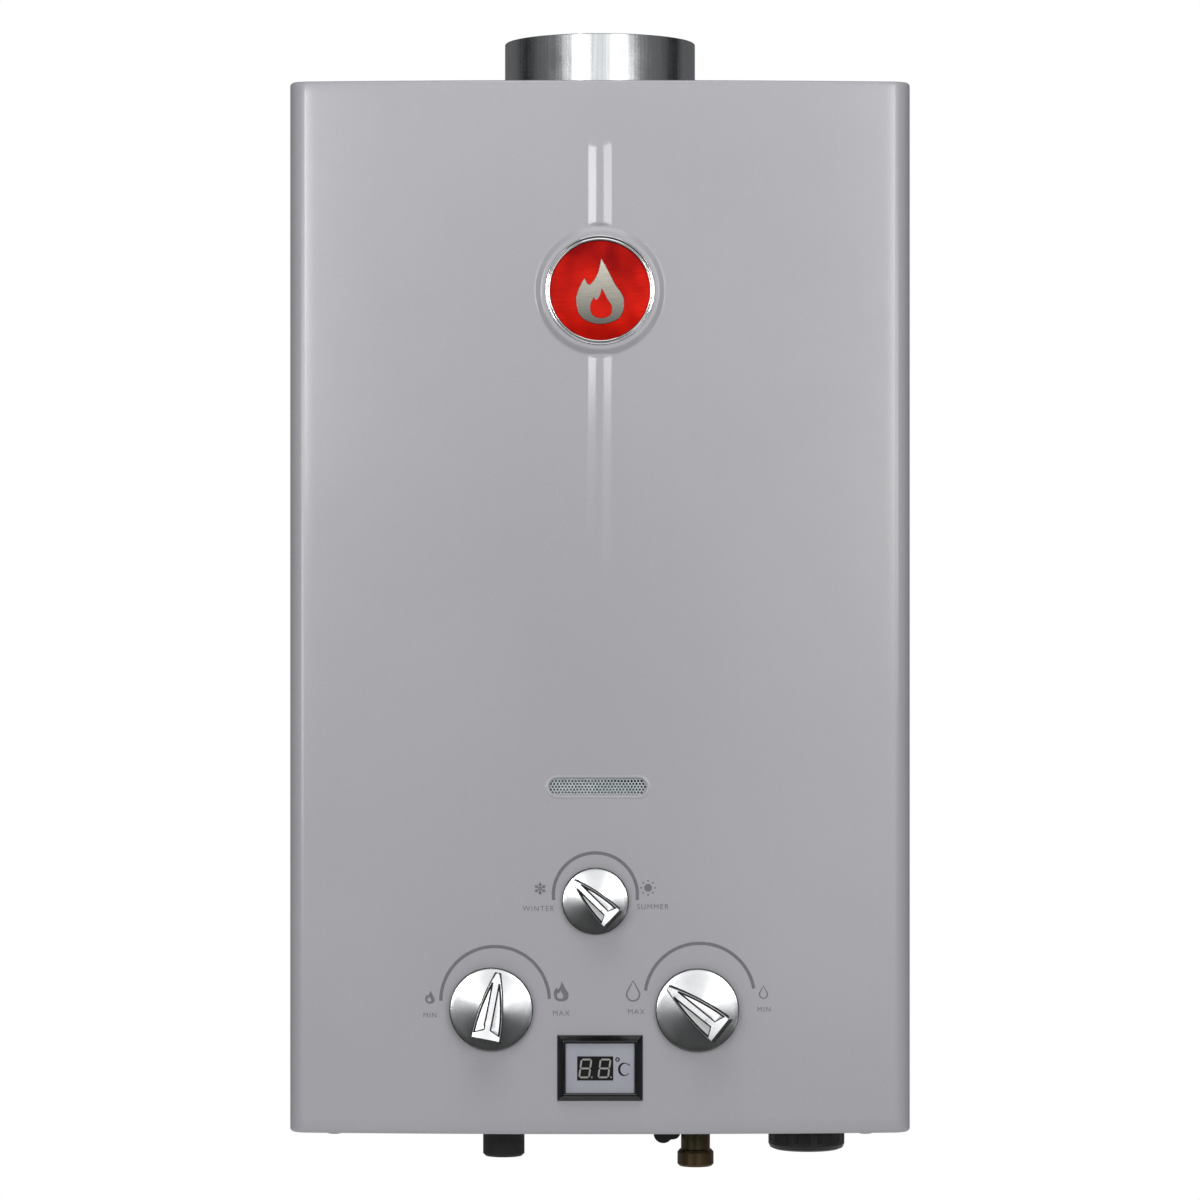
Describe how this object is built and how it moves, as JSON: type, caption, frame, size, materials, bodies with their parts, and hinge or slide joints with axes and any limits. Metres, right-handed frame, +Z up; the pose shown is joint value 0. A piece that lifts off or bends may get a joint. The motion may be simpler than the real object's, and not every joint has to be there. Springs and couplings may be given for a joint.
{
  "type": "wall-hung flued tankless gas water heater",
  "caption": "Wall-hung tankless gas water heater with lift-off steel cover, round flue spigot, control knobs, temperature display and screwed pipe fittings below.",
  "frame": {"origin": "centre of the wall-hole pattern, on the wall face of the back plate, at half the casing's height", "axes": "+Z up, -Y out of the front panel, +X to the right as seen from the front"},
  "size_m": [0.35, 0.1822, 0.6489],
  "materials": {
    "grey_enamel": "satin silver-grey stoved enamel",
    "zinc_sheet": "galvanised sheet",
    "zinc_screws": "zinc plated",
    "copper": "bare copper",
    "stainless": "stainless",
    "brass": "machined brass",
    "cast_aluminium": "die cast",
    "rubber": "moulded rubber",
    "black_plastic": "moulded, fine texture",
    "white_ceramic": "unglazed alumina",
    "lead_insulation": "silicone insulation",
    "black_gloss": "polished black",
    "label_grey": "printed film",
    "chrome": "satin chrome plating",
    "emblem_red": "translucent red lacquer on brushed metal",
    "cell_jacket": "printed shrink sleeve"
  },
  "bodies": {
    "chassis": {"back_plate": "zinc_sheet", "bottom_plate": "zinc_sheet", "machine_screws": "zinc_screws", "flue_collar": "zinc_sheet", "flue_hood": "zinc_sheet", "combustion_chamber": "copper", "heat_exchanger_fins": "copper", "heat_exchanger_tubes": "copper", "coil_pipe": "copper", "hot_pipe": "copper", "cold_pipe": "copper", "chamber_brackets": "zinc_sheet", "thermal_cutout": "black_gloss", "burner_bars": "stainless", "burner_frame": "zinc_sheet", "gas_manifold": "cast_aluminium", "gas_nozzles": "brass", "gas_riser": "cast_aluminium", "spark_electrode": "white_ceramic", "flame_sensor": "white_ceramic", "probe_leads": "lead_insulation", "control_box": "black_plastic", "gas_valve_body": "cast_aluminium", "water_valve_body": "brass", "diaphragm": "rubber", "water_valve_cover": "brass", "gas_disc_spring": "stainless", "solenoid_coil": "black_plastic", "armature_spring": "stainless", "microswitch": "black_plastic", "valve_bracket": "zinc_sheet", "hot_outlet_sleeve": "black_plastic", "cold_inlet_fitting": "brass", "gas_inlet_nipple": "brass", "pipe_nuts": "brass", "battery_tube": "black_plastic", "battery_cells": "cell_jacket"},
    "cover": {"front_cover": "grey_enamel", "cover_screws": "zinc_screws", "viewing_mesh": "stainless", "emblem_ring": "chrome", "emblem_disc": "emblem_red", "display_bezel": "black_gloss", "display_label": "label_grey", "digit_window": "black_gloss", "display_housing": "black_plastic"},
    "season_control": {"season_knob": "chrome"},
    "gas_control": {"gas_knob": "chrome"},
    "water_control": {"water_knob": "chrome"},
    "season_shaft": {"season_spindle": "brass"},
    "gas_shaft": {"gas_spindle": "brass"},
    "water_shaft": {"water_spindle": "brass"},
    "linkage": {"push_rod": "brass", "gas_disc": "brass"},
    "switch_arm": {"switch_lever": "stainless"},
    "armature": {"solenoid_armature": "stainless"},
    "battery_contact": {"battery_spring": "stainless"},
    "battery_screw_cap": {"battery_cap": "black_plastic"},
    "drain_washer": {"drain_seal": "rubber"},
    "drain_screw": {"drain_plug": "black_plastic"}
  },
  "joints": [
    {"name": "cover_slide", "type": "slide", "parent": "chassis", "child": "cover", "axis": [0, -1, 0], "range_m": [0, 0.2]},
    {"name": "season_knob_turn", "type": "hinge", "parent": "cover", "child": "season_control", "pos_m": [-0.0026, -0.166, -0.1648], "axis": [0, -1, 0], "range_deg": [-136, 44]},
    {"name": "season_spindle_turn", "type": "hinge", "parent": "chassis", "child": "season_shaft", "pos_m": [-0.0026, -0.12, -0.1648], "axis": [0, -1, 0], "range_deg": [-136, 44]},
    {"name": "gas_knob_turn", "type": "hinge", "parent": "cover", "child": "gas_control", "pos_m": [-0.061, -0.166, -0.2255], "axis": [0, -1, 0], "range_deg": [-79.2, 100.8]},
    {"name": "gas_spindle_turn", "type": "hinge", "parent": "chassis", "child": "gas_shaft", "pos_m": [-0.061, -0.12, -0.2255], "axis": [0, -1, 0], "range_deg": [-79.2, 100.8]},
    {"name": "water_knob_turn", "type": "hinge", "parent": "cover", "child": "water_control", "pos_m": [0.0546, -0.166, -0.226], "axis": [0, -1, 0], "range_deg": [-141.5, 38.5]},
    {"name": "water_spindle_turn", "type": "hinge", "parent": "chassis", "child": "water_shaft", "pos_m": [0.0546, -0.12, -0.226], "axis": [0, -1, 0], "range_deg": [-141.5, 38.5]},
    {"name": "push_rod_lift", "type": "slide", "parent": "chassis", "child": "linkage", "axis": [0, 0, 1], "range_m": [0, 0.004], "stiffness_N_per_m": 400, "springref_m": -0.003, "deforming": ["gas_disc_spring"]},
    {"name": "switch_lever_turn", "type": "hinge", "parent": "chassis", "child": "switch_arm", "pos_m": [0.0087, -0.084, -0.193], "axis": [0, -1, 0], "range_deg": [-1, 14]},
    {"name": "solenoid_lift", "type": "slide", "parent": "chassis", "child": "armature", "axis": [0, 0, 1], "range_m": [0, 0.0025], "stiffness_N_per_m": 300, "springref_m": -0.003, "deforming": ["armature_spring"]},
    {"name": "battery_contact_travel", "type": "slide", "parent": "chassis", "child": "battery_contact", "axis": [0, 0, -1], "range_m": [0, 0.009]},
    {"name": "battery_cap_turn", "type": "hinge", "parent": "battery_contact", "child": "battery_screw_cap", "pos_m": [0.1195, -0.084, -0.305], "axis": [0, 0, -1], "range_deg": [0, 1080]},
    {"name": "drain_seal_travel", "type": "slide", "parent": "chassis", "child": "drain_washer", "axis": [0, 0, -1], "range_m": [0, 0.0024]},
    {"name": "drain_plug_turn", "type": "hinge", "parent": "drain_washer", "child": "drain_screw", "pos_m": [0.0385, -0.084, -0.3], "axis": [0, 0, -1], "range_deg": [0, 720]}
  ],
  "couplings": [
    {"joint": "season_spindle_turn", "follows": "season_knob_turn", "ratio": 1},
    {"joint": "gas_spindle_turn", "follows": "gas_knob_turn", "ratio": 1},
    {"joint": "water_spindle_turn", "follows": "water_knob_turn", "ratio": 1},
    {"joint": "switch_lever_turn", "follows": "push_rod_lift", "rad_per_m": 56.723},
    {"joint": "battery_cap_turn", "follows": "battery_contact_travel", "rad_per_m": 2094.4},
    {"joint": "drain_plug_turn", "follows": "drain_seal_travel", "rad_per_m": 5236}
  ]
}
